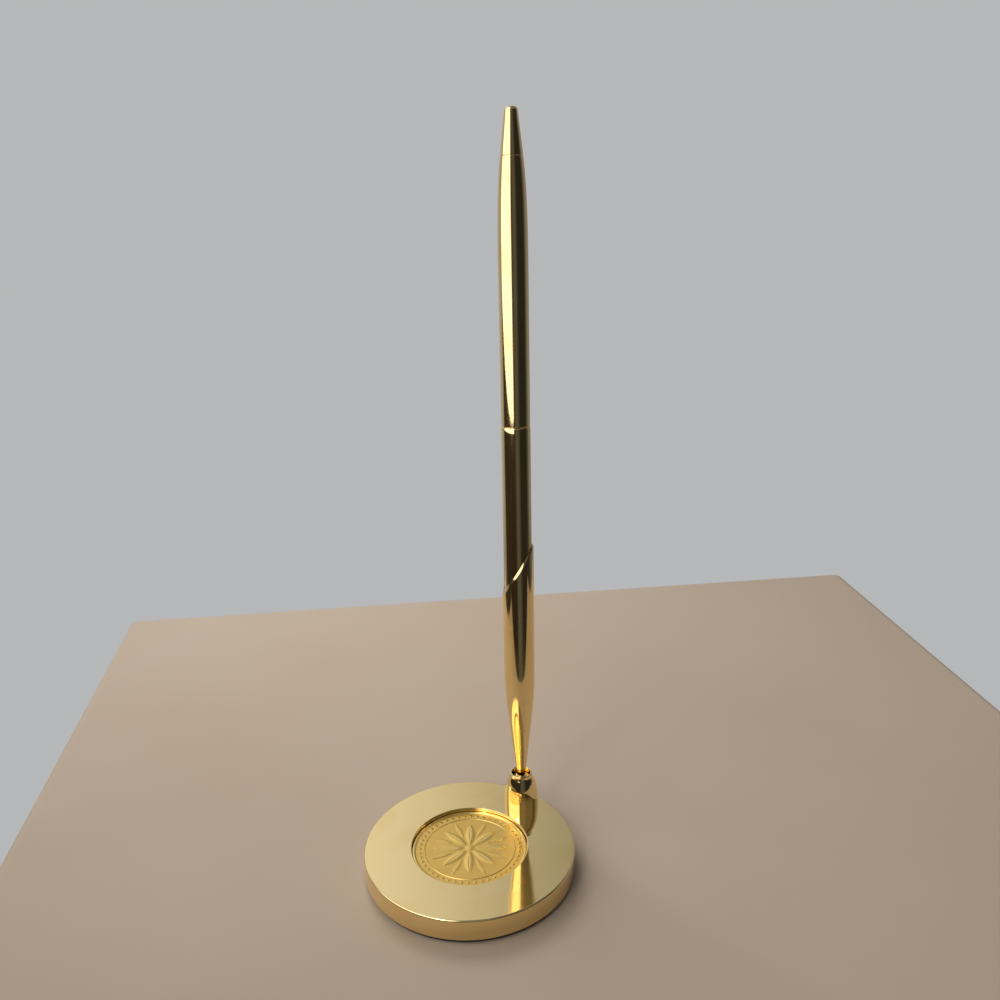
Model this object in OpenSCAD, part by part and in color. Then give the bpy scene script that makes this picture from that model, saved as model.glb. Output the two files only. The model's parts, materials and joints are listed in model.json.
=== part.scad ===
// Desk pen stand: a round metal base with a medallion, a ball socket near its edge,
// a swivelling sheath on the ball, and a slim twist pen that stands in the sheath.
// Millimetres, +Z up, origin at the centre of the felt pad's underside.

/* [Base] */
// Diameter of the round base
base_d = 63.5; // [60:0.5:90]
// Thickness of the metal base
base_t = 7; // [6:0.25:12]
// Rounding of the base's top edge
base_edge_r = 0.5; // [0.2:0.1:1.5]
// Bevel round the base's lower edge
base_foot_bevel = 0.6; // [0.2:0.1:1.5]
// Thickness of the felt pad
pad_t = 1; // [0.5:0.25:3]
// Strip of the base's underside left bare round the pad
pad_inset = 0.75; // [0.25:0.25:3]

/* [Medallion] */
// Diameter of the medallion
medal_d = 34.7; // [26:0.1:39]
// Thickness of the medallion over its raised rim
medal_t = 2; // [1.2:0.1:3]
// Height of the rim, beads and rosette above the medallion's field
medal_relief = 0.3; // [0.1:0.05:0.6]
// Width of the medallion's raised rim
medal_rim_w = 1.1; // [0.5:0.1:2]
// Depth of the medallion's rim below the base's top
medal_sink = 1.1; // [0.4:0.1:2]
// Gap between the medallion and the wall of its recess
medal_gap = 0.15; // [0.05:0.05:0.4]
// Bevel round the top of the recess
recess_bevel = 0.25; // [0.1:0.05:0.6]
// Number of beads in the medallion's border
bead_n = 48; // [24:1:60]
// Diameter of one bead
bead_d = 1.2; // [0.6:0.1:1.4]
// Bare strip on each side of the row of beads
bead_margin = 0.55; // [0.3:0.05:1]
// Width of the plain ring inside the beads
ring_w = 0.5; // [0.3:0.1:1]
// Number of petals in the rosette
petal_n = 8; // [5:1:12]
// Width of one petal
petal_w = 3.2; // [1.5:0.1:4]
// Bare strip between the petals' tips and the ring
petal_margin = 2.2; // [0.5:0.1:3]
// Diameter of the boss at the middle of the rosette
boss_d = 4.2; // [2:0.1:6]

/* [Socket] */
// Height of the socket above the base
socket_h = 11.4; // [10.8:0.1:16]
// Diameter of the socket's foot
socket_foot_d = 10.6; // [10:0.1:13]
// Outer diameter of the socket's lip
socket_lip_d = 6.9; // [6.5:0.1:8]
// Diameter of the socket's open mouth
socket_mouth_d = 5.9; // [5:0.1:6.3]
// Height of the straight collar under the lip
socket_collar_h = 0.8; // [0.5:0.1:2]
// Fullness of the dome between foot and collar
dome_power = 3; // [2:0.1:4]
// Bearing of the socket on the base, from +X towards +Y, in degrees
socket_bearing = 51.4; // [0:0.1:359]
// Strip of the base left outside the socket's foot
socket_margin = 0.45; // [0.2:0.05:3]

/* [Swivel] */
// Diameter of the swivel ball
ball_d = 7; // [6.4:0.1:7.4]
// Depth of the ball's top below the lip
ball_sink = 0.5; // [0.3:0.1:1]
// Running clearance round the ball
ball_play = 0.05; // [0.02:0.01:0.1]
// Diameter of the flat on which the sheath stands
ball_flat_d = 2.9; // [2.6:0.1:3.4]
// Diameter of the ball's threaded stud
ball_stud_d = 1.6; // [1:0.1:2]
// Length of the ball's stud above the flat
ball_stud_l = 5; // [3:0.5:8]
// Thickness of the ball seat under the ball
seat_floor = 1; // [0.6:0.1:1.6]
// Depth of the seat's upper edge below the ball's centre
seat_drop = 1.6; // [1.2:0.1:2.4]
// Height of the disc spring as fitted
spring_h = 1.1; // [0.6:0.1:1.6]
// Thickness of the disc spring
spring_t = 0.35; // [0.2:0.05:0.5]
// Diameter of the hole in the disc spring
spring_hole_d = 2.8; // [2:0.1:4]

/* [Fastening] */
// Diameter of the stud that holds the socket
stud_d = 3; // [2.5:0.5:4]
// Outer diameter of the stud's washer
washer_d = 7; // [6:0.5:8]
// Thickness of the washer
washer_t = 0.5; // [0.3:0.1:0.8]
// Width of the nut across its flats
nut_af = 5.5; // [5:0.5:7]
// Thickness of the nut
nut_t = 1.8; // [1.2:0.1:2]
// Thread left standing past the nut
stud_tail = 0.4; // [0.2:0.1:0.6]
// Space left between the stud's end and the pad
stud_cover = 0.5; // [0.2:0.1:1]
// Space round the washer in its counterbore
washer_room = 0.5; // [0.2:0.1:1]
// Radial clearance of threads and pressed pieces
thread_play = 0.04; // [0.02:0.01:0.08]
// Clearance of plain holes round a stud
hole_play = 0.15; // [0.05:0.05:0.3]
// Gap between faces that turn on each other
face_gap = 0.05; // [0.02:0.01:0.1]

/* [Sheath] */
// Lean of the sheath and pen towards -X at rest, in degrees
lean = 0.3; // [0:0.05:6]
// Length of the sheath from its foot to the high side of its mouth
sheath_l = 79.2; // [70:0.2:100]
// Wall of the sheath
sheath_wall = 0.4; // [0.24:0.02:0.6]
// Diameter of the sheath's foot on the ball
sheath_foot_d = 2.7; // [2.4:0.1:2.8]
// Length of the sheath's cone
sheath_cone_l = 30; // [26:0.5:40]
// Length of the soft bend at the top of the cone, each way
sheath_bend_l = 8; // [3:0.5:12]
// Length of the solid foot below the sheath's bore
sheath_plug_l = 12; // [8:0.5:16]
// Drop of the oblique mouth from its high side to its low side
mouth_drop = 15; // [4:0.5:24]
// Height of the sheath's liner
liner_h = 12; // [9:0.5:16]
// Height of the liner below the pen's tip
liner_floor = 4; // [3.6:0.2:8]
// Gap between the pen and the sheath's bore
pen_play = 0.1; // [0.06:0.01:0.3]
// Gap between the pen's nose and the liner
nose_play = 0.15; // [0.05:0.05:0.4]

/* [Pen] */
// Diameter of the pen's lower barrel
pen_d = 8.3; // [7.8:0.05:9.4]
// Wall of the lower barrel
barrel_wall = 0.5; // [0.4:0.02:0.7]
// Amount by which the upper barrel is slimmer, on the radius
upper_step = 0.08; // [0.02:0.01:0.14]
// Length of the nose cone
nose_l = 11; // [8:0.5:14]
// Diameter of the nose at its tip
nose_tip_d = 3.2; // [3.1:0.1:3.8]
// Diameter of the nose at the barrel
nose_base_d = 6.8; // [6:0.1:7.2]
// Length of the spigots that join the pen's pieces
spigot_l = 4; // [3:0.5:6]
// Length of the lower barrel
lower_l = 61.4; // [54:0.2:72]
// Length of the lower barrel's taper above the nose
lower_taper_l = 14; // [8:0.5:20]
// Rounding of the lower barrel's shoulder at the seam
shoulder_r = 0.4; // [0.2:0.05:0.45]
// Width of the seams between the pen's turning pieces
seam_gap = 0.2; // [0.1:0.05:0.4]
// Length of the upper barrel
upper_l = 71.2; // [60:0.2:90]
// Length of the upper barrel before its taper starts
upper_straight_l = 25; // [18:0.5:36]
// Fullness of the upper barrel's taper
upper_power = 5; // [2:0.1:7]
// Wall of the upper barrel along its taper
upper_wall = 0.45; // [0.35:0.05:0.8]
// Diameter of the pen at the seam of its finial
finial_d = 6; // [5:0.1:7]
// Length of the finial
finial_l = 11.7; // [8:0.1:16]
// Diameter of the finial near its blunt end
finial_end_d = 3.5; // [2.6:0.1:4.4]
// Rounding of the finial's blunt end
finial_round = 0.9; // [0.4:0.1:1.2]
// Diameter of the finial's spigot
finial_spigot_d = 3.2; // [2.6:0.1:3.6]
// Length of the finial's spigot
finial_spigot_l = 7.5; // [4:0.5:10]

/* [Twist mechanism] */
// Travel of the refill over the whole twist
advance = 4.5; // [3:0.1:4.8]
// Angle of the whole twist, in degrees
twist_angle = 180; // [120:5:200]
// Depth of the retracted point inside the nose
point_sink = 1.3; // [0.6:0.1:2]
// Length of the bush in each half of the barrel
bush_l = 8; // [5:0.5:12]
// Wall of the bush and of the twist cam
cam_wall = 0.6; // [0.5:0.05:0.7]
// Length of the twist cam's tube
cam_l = 14; // [12:0.5:20]
// Thickness of the twist cam's closed end
cam_cap_t = 2; // [1:0.5:4]
// Wall of the guide sleeve
guide_wall = 0.45; // [0.35:0.05:0.6]
// Diameter of the refill carrier's cross pin
pin_d = 0.7; // [0.5:0.05:0.9]
// Clearance between the cross pin and its slots
pin_play = 0.08; // [0.05:0.01:0.12]
// Length of the carrier above the cross pin
carrier_top_l = 2; // [1.2:0.2:3]
// Length of the carrier below the cross pin
carrier_foot_l = 7; // [5:0.5:9]
// Depth of the refill in the carrier
refill_grip_l = 4; // [2:0.5:4.5]
// Diameter of the refill
refill_d = 2.4; // [2:0.1:2.6]
// Wall of the refill tube
refill_wall = 0.2; // [0.15:0.05:0.35]
// Length of the refill's point
point_l = 6; // [4:0.5:8]
// Length of the cone on the refill's point
point_cone_l = 3.4; // [2:0.2:3.8]
// Diameter of the refill's point at its tip
point_tip_d = 1; // [0.9:0.05:1.3]
// Diameter of the writing ball
writing_d = 0.8; // [0.6:0.05:0.8]

/* [Hidden] */
$fn = 96;

// Colours
gold = [0.86, 0.72, 0.38];
satin_gold = [0.8, 0.66, 0.34];
felt_black = [0.07, 0.07, 0.07];
steel = [0.72, 0.72, 0.7];
spring_steel = [0.5, 0.5, 0.52];
nylon_white = [0.9, 0.89, 0.84];
nylon_black = [0.12, 0.12, 0.12];
bare_brass = [0.72, 0.6, 0.32];

// Steps in round corners and in long curves, and the reach of a cut past a face
corner_steps = 8;
curve_steps = 24;
cut_over = 1;

// Base and medallion
base_r = base_d / 2;
base_top = pad_t + base_t;
medal_r = medal_d / 2;
recess_r = medal_r + medal_gap;
recess_floor = base_top - medal_sink - medal_t;
medal_field = medal_t - medal_relief;
bead_ring_r = medal_r - medal_rim_w - bead_margin - bead_d / 2;
ring_r = bead_ring_r - bead_d / 2 - bead_margin;
petal_tip_r = ring_r - ring_w - petal_margin;
// Radius of the two arcs that bound one petal, from its length and width
petal_arc_r = (pow(petal_tip_r / 2, 2) + pow(petal_w / 2, 2)) / petal_w;

// Socket and swivel, with heights above the base's top
socket_reach = base_r - socket_margin - socket_foot_d / 2;
socket_x = socket_reach * cos(socket_bearing);
socket_y = socket_reach * sin(socket_bearing);
lip_r = (socket_lip_d - socket_mouth_d) / 4;
lip_h = socket_h - lip_r;
dome_h = lip_h - socket_collar_h;
ball_r = ball_d / 2;
ball_h = socket_h - ball_sink - ball_r;
cavity_r = ball_r + ball_play;
socket_bore_r = cavity_r + ball_play;
seat_h = ball_h - cavity_r - seat_floor;
stud_head_t = seat_h - spring_h;
ball_flat_t = sqrt(pow(ball_r, 2) - pow(ball_flat_d / 2, 2));

// Fastening, with heights above the base's top
counterbore_depth = washer_t + nut_t + stud_tail + stud_cover;
washer_h = counterbore_depth - base_t;
nut_h = washer_h - washer_t - nut_t;
stud_end_h = nut_h - stud_tail;

// Sheath, with lengths along its axis from the ball's centre
sheath_bore_r = pen_d / 2 + pen_play;
sheath_r = sheath_bore_r + sheath_wall;
foot_t = ball_flat_t + face_gap;
corner_t = foot_t + sheath_cone_l;
bore_floor_t = foot_t + sheath_plug_l;
mouth_high_t = foot_t + sheath_l;
cone_slope = (sheath_r - sheath_foot_d / 2) / sheath_cone_l;
mouth_angle = atan(mouth_drop / (2 * sheath_r));
liner_t = corner_t + sheath_bend_l;
pen_t = liner_t + liner_floor;

// Pen, with lengths along its axis from the tip of its nose
pen_r = pen_d / 2;
barrel_bore_r = pen_r - barrel_wall;
nose_slope = (nose_base_d - nose_tip_d) / 2 / nose_l;
nose_hole_r = refill_d / 2 + hole_play;
spigot_hole_r = nose_base_d / 2 - barrel_wall;
seam_p = nose_l + lower_l;
upper_p = seam_p + seam_gap;
upper_r = pen_r - upper_step;
upper_taper_p = upper_p + upper_straight_l;
upper_top_p = upper_p + upper_l;
finial_p = upper_top_p + face_gap;
finial_tip_p = finial_p + finial_l;
finial_hole_p = upper_top_p - finial_spigot_l - face_gap;

// Twist mechanism, with lengths along the pen from the tip of its nose
cam_r = barrel_bore_r - thread_play;
cam_bore_r = cam_r - cam_wall;
cam_p = upper_p + bush_l + seam_gap;
cam_top_p = cam_p + cam_l;
guide_r = cam_bore_r - ball_play;
guide_bore_r = guide_r - guide_wall;
carrier_r = guide_bore_r - ball_play;
pin_r = pin_d / 2;
slot_r = pin_r + pin_play;
// The retracted pin stands clear below the cam's closed end
pin_p = cam_top_p - carrier_top_l - 2 * slot_r;
carrier_p = pin_p - carrier_foot_l;
upper_bore_top_p = cam_top_p + cam_cap_t + seam_gap;
refill_r = refill_d / 2;
refill_bore_r = refill_r - refill_wall;
point_spigot_l = point_l / 3;
writing_p = point_sink + writing_d / 2;
point_p = writing_p - writing_d / 4;
refill_p = point_p + point_l;
refill_top_p = carrier_p + refill_grip_l;
// Half the slot's width round the cam, and the extra turn at each end of its helix
cam_lead = advance / (twist_angle * PI / 180);
helix_angle = atan(cam_lead / (cam_bore_r + cam_wall / 2));
slot_half_w = slot_r / sin(helix_angle);
slot_extra_angle = atan((slot_half_w + slot_r) / cam_bore_r);
slot_turn = twist_angle + 2 * slot_extra_angle;
slot_rise = advance * slot_turn / twist_angle;

// Points of an arc about a centre, from one angle to another
function arc(centre, r, from, to) =
    [for (i = [0:corner_steps]) let (a = from + (to - from) * i / corner_steps)
        centre + r * [cos(a), sin(a)]];

// Points of a soft bend from a start to an end, drawn towards a corner between them
function bend(start, corner, end) =
    [for (i = [0:curve_steps]) let (s = i / curve_steps)
        pow(1 - s, 2) * start + 2 * s * (1 - s) * corner + pow(s, 2) * end];

// Points of a curve that leaves the first point straight and draws in to the second
function draw_in(start, end, power) =
    [for (i = [0:curve_steps]) let (s = i / curve_steps)
        [start[0] + (end[0] - start[0]) * pow(s, power), start[1] + (end[1] - start[1]) * s]];

// Radius of the outside of the sheath's cone at a place along its axis
function cone_r(t) = sheath_foot_d / 2 + (t - foot_t) * cone_slope;

// Outline of the sheath's cone, bend and tube, drawn in by a wall
function sheath_line(wall, from_t) = concat(
    [[cone_r(from_t) - wall, from_t]],
    bend(
        [cone_r(corner_t - sheath_bend_l) - wall, corner_t - sheath_bend_l],
        [sheath_r - wall, corner_t],
        [sheath_r - wall, corner_t + sheath_bend_l]
    )
);

// Radius of the upper barrel along its taper
function taper_r(p) =
    upper_r - (upper_r - finial_d / 2)
    * pow(max(0, p - upper_taper_p) / (upper_top_p - upper_taper_p), upper_power);

// Outline of the upper barrel's taper between two places, drawn in by a wall
function taper_line(from, to, wall) =
    [for (i = [0:curve_steps]) let (p = from + (to - from) * i / curve_steps) [taper_r(p) - wall, p]];

// Radius of the nose at a place along the pen
function nose_r(p) = nose_tip_d / 2 + p * nose_slope;

// Places pieces on the socket's axis, at the base's top
module at_socket() {
    translate([socket_x, socket_y, base_top]) children();
}

// Places pieces at the ball's centre, along the leaning axis
module at_ball() {
    at_socket() translate([0, 0, ball_h]) rotate([0, -lean, 0]) children();
}

// Places pieces at the tip of the pen's nose, along the leaning axis
module at_pen() {
    at_ball() translate([0, 0, pen_t]) children();
}

// A tube about the Z axis between two heights
module tube(outer_r, inner_r, from, to) {
    rotate_extrude() translate([inner_r, from]) square([outer_r - inner_r, to - from]);
}

// A rod about the Z axis between two heights
module rod(r, from, to) {
    translate([0, 0, from]) cylinder(r = r, h = to - from);
}

module base_disc() {
    outline = concat(
        [[0, pad_t], [base_r - base_foot_bevel, pad_t], [base_r, pad_t + base_foot_bevel]],
        arc([base_r - base_edge_r, base_top - base_edge_r], base_edge_r, 0, 90),
        [[recess_r + recess_bevel, base_top], [recess_r, base_top - recess_bevel]],
        [[recess_r, recess_floor], [0, recess_floor]]
    );
    color(gold) difference() {
        rotate_extrude() polygon(outline);
        at_socket() rod(stud_d / 2 + hole_play, -base_t - cut_over, cut_over);
        at_socket() rod(washer_d / 2 + washer_room, -base_t - cut_over, washer_h);
    }
}

module felt_pad() {
    color(felt_black) rod(base_r - pad_inset, 0, pad_t);
}

module medallion() {
    color(satin_gold) translate([0, 0, recess_floor]) union() {
        rod(medal_r, 0, medal_field);
        tube(medal_r, medal_r - medal_rim_w, 0, medal_t);
        tube(ring_r, ring_r - ring_w, 0, medal_t);
        rod(boss_d / 2, 0, medal_t);
        for (i = [0:bead_n - 1]) {
            rotate([0, 0, 360 * i / bead_n]) translate([bead_ring_r, 0, 0]) rod(bead_d / 2, 0, medal_t);
        }
        for (i = [0:petal_n - 1]) {
            rotate([0, 0, 360 * i / petal_n]) petal();
        }
    }
}

// One pointed petal of the rosette, from the centre out to its tip
module petal() {
    offset_y = petal_arc_r - petal_w / 2;
    linear_extrude(medal_t - medal_relief / 3) intersection() {
        translate([petal_tip_r / 2, offset_y]) circle(r = petal_arc_r);
        translate([petal_tip_r / 2, -offset_y]) circle(r = petal_arc_r);
    }
}

module socket_bell() {
    outline = concat(
        [[0, 0]],
        draw_in([socket_foot_d / 2, 0], [socket_lip_d / 2, dome_h], dome_power),
        arc([socket_lip_d / 2 - lip_r, lip_h], lip_r, 0, 180),
        [[socket_mouth_d / 2, ball_h], [0, ball_h]]
    );
    color(gold) at_socket() difference() {
        rotate_extrude() polygon(outline);
        translate([0, 0, ball_h]) sphere(r = cavity_r);
        rod(socket_bore_r, -cut_over, ball_h);
    }
}

module swivel_ball() {
    color(gold) at_ball() union() {
        intersection() {
            sphere(r = ball_r);
            rod(ball_d, -ball_d, ball_flat_t);
        }
        rod(ball_stud_d / 2, 0, ball_flat_t + ball_stud_l);
    }
}

module ball_seat() {
    color(nylon_white) at_socket() difference() {
        rod(socket_bore_r - ball_play, seat_h, ball_h - seat_drop);
        translate([0, 0, ball_h]) sphere(r = cavity_r);
    }
}

module pressure_spring() {
    outer_r = socket_bore_r - hole_play;
    spring_top = seat_h - face_gap;
    outline = [
        [outer_r, stud_head_t],
        [outer_r, stud_head_t + spring_t],
        [spring_hole_d / 2, spring_top],
        [spring_hole_d / 2, spring_top - spring_t]
    ];
    color(spring_steel) at_socket() rotate_extrude() polygon(outline);
}

module socket_stud() {
    color(bare_brass) at_socket() union() {
        rod(socket_bore_r - thread_play, 0, stud_head_t);
        rod(stud_d / 2, stud_end_h, stud_head_t);
    }
}

module stud_washer() {
    color(steel) at_socket() tube(washer_d / 2, stud_d / 2 + hole_play, washer_h - washer_t, washer_h);
}

module stud_nut() {
    color(steel) at_socket() difference() {
        translate([0, 0, nut_h]) cylinder(d = nut_af / cos(30), h = nut_t, $fn = 6);
        rod(stud_d / 2 + thread_play, nut_h - cut_over, nut_h + nut_t + cut_over);
    }
}

module sheath() {
    top_t = mouth_high_t + cut_over;
    outside = concat([[0, foot_t]], sheath_line(0, foot_t), [[sheath_r, top_t], [0, top_t]]);
    inside = concat(
        [[0, bore_floor_t]],
        sheath_line(sheath_wall, bore_floor_t),
        [[sheath_bore_r, top_t + cut_over], [0, top_t + cut_over]]
    );
    cut_size = 4 * (mouth_drop + sheath_r);
    color(gold) at_ball() difference() {
        rotate_extrude() polygon(outside);
        rotate_extrude() polygon(inside);
        rod(ball_stud_d / 2 + thread_play, foot_t - cut_over, foot_t + ball_stud_l + face_gap);
        translate([sheath_r, 0, mouth_high_t]) rotate([0, -mouth_angle, 0])
            translate([-cut_size / 2, -cut_size / 2, 0]) cube(cut_size);
    }
}

module sheath_liner() {
    top_p = liner_h - liner_floor;
    seat_line = [
        [0, -liner_floor - cut_over],
        [nose_hole_r + nose_play, -liner_floor - cut_over],
        [nose_hole_r + nose_play, -nose_play],
        [nose_r(-nose_play) + nose_play, -nose_play],
        [nose_r(top_p + cut_over) + nose_play, top_p + cut_over],
        [0, top_p + cut_over]
    ];
    color(nylon_black) at_pen() difference() {
        rod(sheath_bore_r - thread_play, -liner_floor, top_p);
        rotate_extrude() polygon(seat_line);
    }
}

module nose_cone() {
    outline = [
        [nose_hole_r, 0],
        [nose_tip_d / 2, 0],
        [nose_base_d / 2, nose_l],
        [spigot_hole_r - thread_play, nose_l],
        [spigot_hole_r - thread_play, nose_l + spigot_l],
        [nose_hole_r, nose_l + spigot_l]
    ];
    color(gold) at_pen() rotate_extrude() polygon(outline);
}

module lower_barrel() {
    taper_p = nose_l + lower_taper_l;
    outline = concat(
        [[spigot_hole_r, nose_l], [nose_base_d / 2, nose_l]],
        bend(
            [nose_r(nose_l), nose_l],
            [pen_r, nose_l + lower_taper_l / 2],
            [pen_r, taper_p]
        ),
        arc([pen_r - shoulder_r, seam_p - shoulder_r], shoulder_r, 0, 90),
        [[barrel_bore_r, seam_p], [barrel_bore_r, taper_p], [spigot_hole_r, taper_p]]
    );
    color(gold) at_pen() rotate_extrude() polygon(outline);
}

module upper_barrel() {
    outside = concat(
        [[0, upper_p], [upper_r, upper_p]],
        taper_line(upper_taper_p, upper_top_p, 0),
        [[0, upper_top_p]]
    );
    // The hollow above the cam follows the taper as far as the finial's spigot
    hollow = concat(
        [[0, upper_bore_top_p - cut_over]],
        [[taper_r(upper_bore_top_p) - upper_wall, upper_bore_top_p - cut_over]],
        taper_line(upper_bore_top_p, finial_hole_p, upper_wall),
        [[0, finial_hole_p]]
    );
    color(gold) at_pen() difference() {
        rotate_extrude() polygon(outside);
        rod(barrel_bore_r, upper_p - cut_over, upper_bore_top_p);
        rotate_extrude() polygon(hollow);
        rod(finial_spigot_d / 2 + thread_play, finial_hole_p - cut_over, upper_top_p + cut_over);
    }
}

module end_finial() {
    end_r = finial_end_d / 2;
    outline = concat(
        [[0, finial_p - finial_spigot_l], [finial_spigot_d / 2, finial_p - finial_spigot_l]],
        [[finial_spigot_d / 2, finial_p], [finial_d / 2, finial_p]],
        arc([end_r - finial_round, finial_tip_p - finial_round], finial_round, 0, 90),
        [[0, finial_tip_p]]
    );
    color(gold) at_pen() rotate_extrude() polygon(outline);
}

module barrel_bush() {
    color(bare_brass) at_pen() tube(cam_r, cam_bore_r, seam_p - bush_l, upper_p + bush_l);
}

module guide_sleeve() {
    from_p = seam_p - bush_l;
    color(bare_brass) at_pen() difference() {
        tube(guide_r, guide_bore_r, from_p, cam_top_p - seam_gap);
        translate([0, -slot_r, pin_p - advance - 2 * slot_r])
            cube([guide_r + cut_over, 2 * slot_r, advance + 4 * slot_r]);
    }
}

module twist_cam() {
    slot_from_p = pin_p - advance - (slot_rise - advance) / 2;
    color(nylon_white) at_pen() difference() {
        rod(cam_r, cam_p, cam_top_p + cam_cap_t);
        rod(cam_bore_r, cam_p - cut_over, cam_top_p);
        translate([0, 0, slot_from_p]) rotate([0, 0, -twist_angle - slot_extra_angle])
            linear_extrude(height = slot_rise, twist = -slot_turn, slices = 2 * curve_steps, $fn = 16)
            translate([0, -slot_half_w]) square([cam_r + cut_over, 2 * slot_half_w]);
    }
}

module refill_carrier() {
    pin_reach = cam_r - thread_play - pin_play;
    color(nylon_white) at_pen() difference() {
        union() {
            rod(carrier_r, carrier_p, pin_p + carrier_top_l);
            translate([0, 0, pin_p]) rotate([0, 90, 0]) cylinder(r = pin_r, h = pin_reach);
        }
        rod(refill_r + thread_play, carrier_p - cut_over, refill_top_p);
    }
}

module refill_tube() {
    color(bare_brass) at_pen() tube(refill_r, refill_bore_r, refill_p, refill_top_p);
}

module refill_point() {
    outline = [
        [0, point_p],
        [point_tip_d / 2, point_p],
        [refill_r, point_p + point_cone_l],
        [refill_r, refill_p],
        [refill_bore_r - thread_play, refill_p],
        [refill_bore_r - thread_play, refill_p + point_spigot_l],
        [0, refill_p + point_spigot_l]
    ];
    color(steel) at_pen() difference() {
        rotate_extrude() polygon(outline);
        translate([0, 0, writing_p]) sphere(r = writing_d / 2 + ball_play / 2);
    }
}

module writing_ball() {
    color(spring_steel) at_pen() translate([0, 0, writing_p]) sphere(d = writing_d);
}

base_disc();
felt_pad();
medallion();
socket_bell();
swivel_ball();
ball_seat();
pressure_spring();
socket_stud();
stud_washer();
stud_nut();
sheath();
sheath_liner();
nose_cone();
lower_barrel();
upper_barrel();
end_finial();
barrel_bush();
guide_sleeve();
twist_cam();
refill_carrier();
refill_tube();
refill_point();
writing_ball();
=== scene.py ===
# %% [markdown]
# # A desk pen stand in polished gold
# The real object is a heavy round base with a struck medallion let into its top, a small ball socket near
# the edge, a swivelling sheath on the ball, and a slim twist pen that stands in the sheath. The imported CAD
# model is the frame: it fixes every size and every moving body. This lesson dresses it, piece by piece.

# %% Load the frame
import json
import math
import bpy
import numpy as np
from mathutils import Matrix, Vector


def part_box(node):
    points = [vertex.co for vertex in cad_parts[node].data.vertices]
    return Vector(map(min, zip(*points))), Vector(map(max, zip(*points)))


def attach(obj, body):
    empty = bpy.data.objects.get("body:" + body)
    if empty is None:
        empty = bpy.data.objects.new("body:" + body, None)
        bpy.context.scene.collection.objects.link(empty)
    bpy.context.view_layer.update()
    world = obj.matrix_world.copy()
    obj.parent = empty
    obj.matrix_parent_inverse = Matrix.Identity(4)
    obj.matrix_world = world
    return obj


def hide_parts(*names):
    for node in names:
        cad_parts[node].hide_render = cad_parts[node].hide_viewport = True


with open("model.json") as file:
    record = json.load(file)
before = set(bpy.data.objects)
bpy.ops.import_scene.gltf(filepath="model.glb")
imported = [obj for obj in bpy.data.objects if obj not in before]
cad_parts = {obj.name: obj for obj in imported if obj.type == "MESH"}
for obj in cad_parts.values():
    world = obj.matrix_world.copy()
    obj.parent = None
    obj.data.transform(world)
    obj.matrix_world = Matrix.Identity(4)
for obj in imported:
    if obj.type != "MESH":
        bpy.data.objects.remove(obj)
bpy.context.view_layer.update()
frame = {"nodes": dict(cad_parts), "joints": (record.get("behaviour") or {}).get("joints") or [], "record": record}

MM = 0.001
joint = {j["name"]: j for j in frame["joints"]}

# %% [markdown]
# Almost every piece here was turned on a lathe, so two axes carry the whole model: the upright one through
# the middle of the base, and the leaning one through the ball, the sheath and the pen. The second one comes
# from the joints. Each node's reach along that axis is measured from its own points, so that a new piece
# takes its length and its radius from the frame.

# %% The two axes and how the nodes lie along them
ball_centre = Vector(joint["swivel_tilt"]["pos_m"])
pen_axis = Vector(joint["pen_lift"]["axis"]).normalized()
lean = math.atan2(-pen_axis.x, pen_axis.z)


def along_pen(node):
    """The lowest and highest place of a node along the pen's axis from the ball's centre, and its radius."""
    points = np.array([v.co for v in frame["nodes"][node].data.vertices]) - np.array(ball_centre)
    heights = points @ np.array(pen_axis)
    radii = np.linalg.norm(points - heights[:, None] * np.array(pen_axis), axis=1)
    return heights.min(), heights.max(), radii.max()


def upright(node):
    """The lowest and highest place of an upright node, and half its width."""
    low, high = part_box(node)
    return low.z, high.z, (high.x - low.x) / 2


print("the pen leans", round(math.degrees(lean), 2), "degrees, and its end is",
      round(along_pen("end_finial")[1] / MM, 1), "mm above the ball")

# %% [markdown]
# ## Camera
# The photograph looks down on the stand from a hand's height. Its viewpoint was worked out from the two
# ellipses of the base and the recess, whose true shape is round. A camera turned by two angles, the pitch
# and a slight roll, is simpler to read than one that tracks a target.

# %% Camera at the photograph's viewpoint
CAMERA_PLACE = Vector((10.85, -240.5, 198.6)) * MM
CAMERA_PITCH = math.radians(18.58)
CAMERA_ROLL = math.radians(-0.91)
FOCAL_PIXELS = 953.6
IMAGE_PIXELS = 1000
SENSOR_WIDTH = 36
CLIP_START = 1 * MM

bpy.ops.object.select_all(action="DESELECT")
bpy.ops.object.camera_add()
camera = bpy.context.object
camera.name = "photo_camera"
camera.data.sensor_width = SENSOR_WIDTH
camera.data.lens = FOCAL_PIXELS / IMAGE_PIXELS * SENSOR_WIDTH
camera.data.clip_start = CLIP_START
turn = Matrix.Rotation(math.pi / 2 - CAMERA_PITCH, 4, "X") @ Matrix.Rotation(CAMERA_ROLL, 4, "Z")
camera.matrix_world = Matrix.Translation(CAMERA_PLACE) @ turn
bpy.context.scene.camera = camera
print("camera lens", round(camera.data.lens, 2), "mm")

# %% [markdown]
# ## Modelling helpers
# A turned piece is an outline swung round an axis. The outline is a list of radius and height, and the round
# stretches in it come from a few small functions. A curve object could draw them too, but a formula says
# plainly what a turner would set: a radius, a bend or a taper.

# %% Outlines
ARC_STEPS = 8
CURVE_STEPS = 32


def arc(centre, radius, start, end, steps=ARC_STEPS):
    """Points of an arc about a centre, between two angles in degrees."""
    angles = [math.radians(start + (end - start) * i / steps) for i in range(steps + 1)]
    return [(centre[0] + radius * math.cos(a), centre[1] + radius * math.sin(a)) for a in angles]


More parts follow.
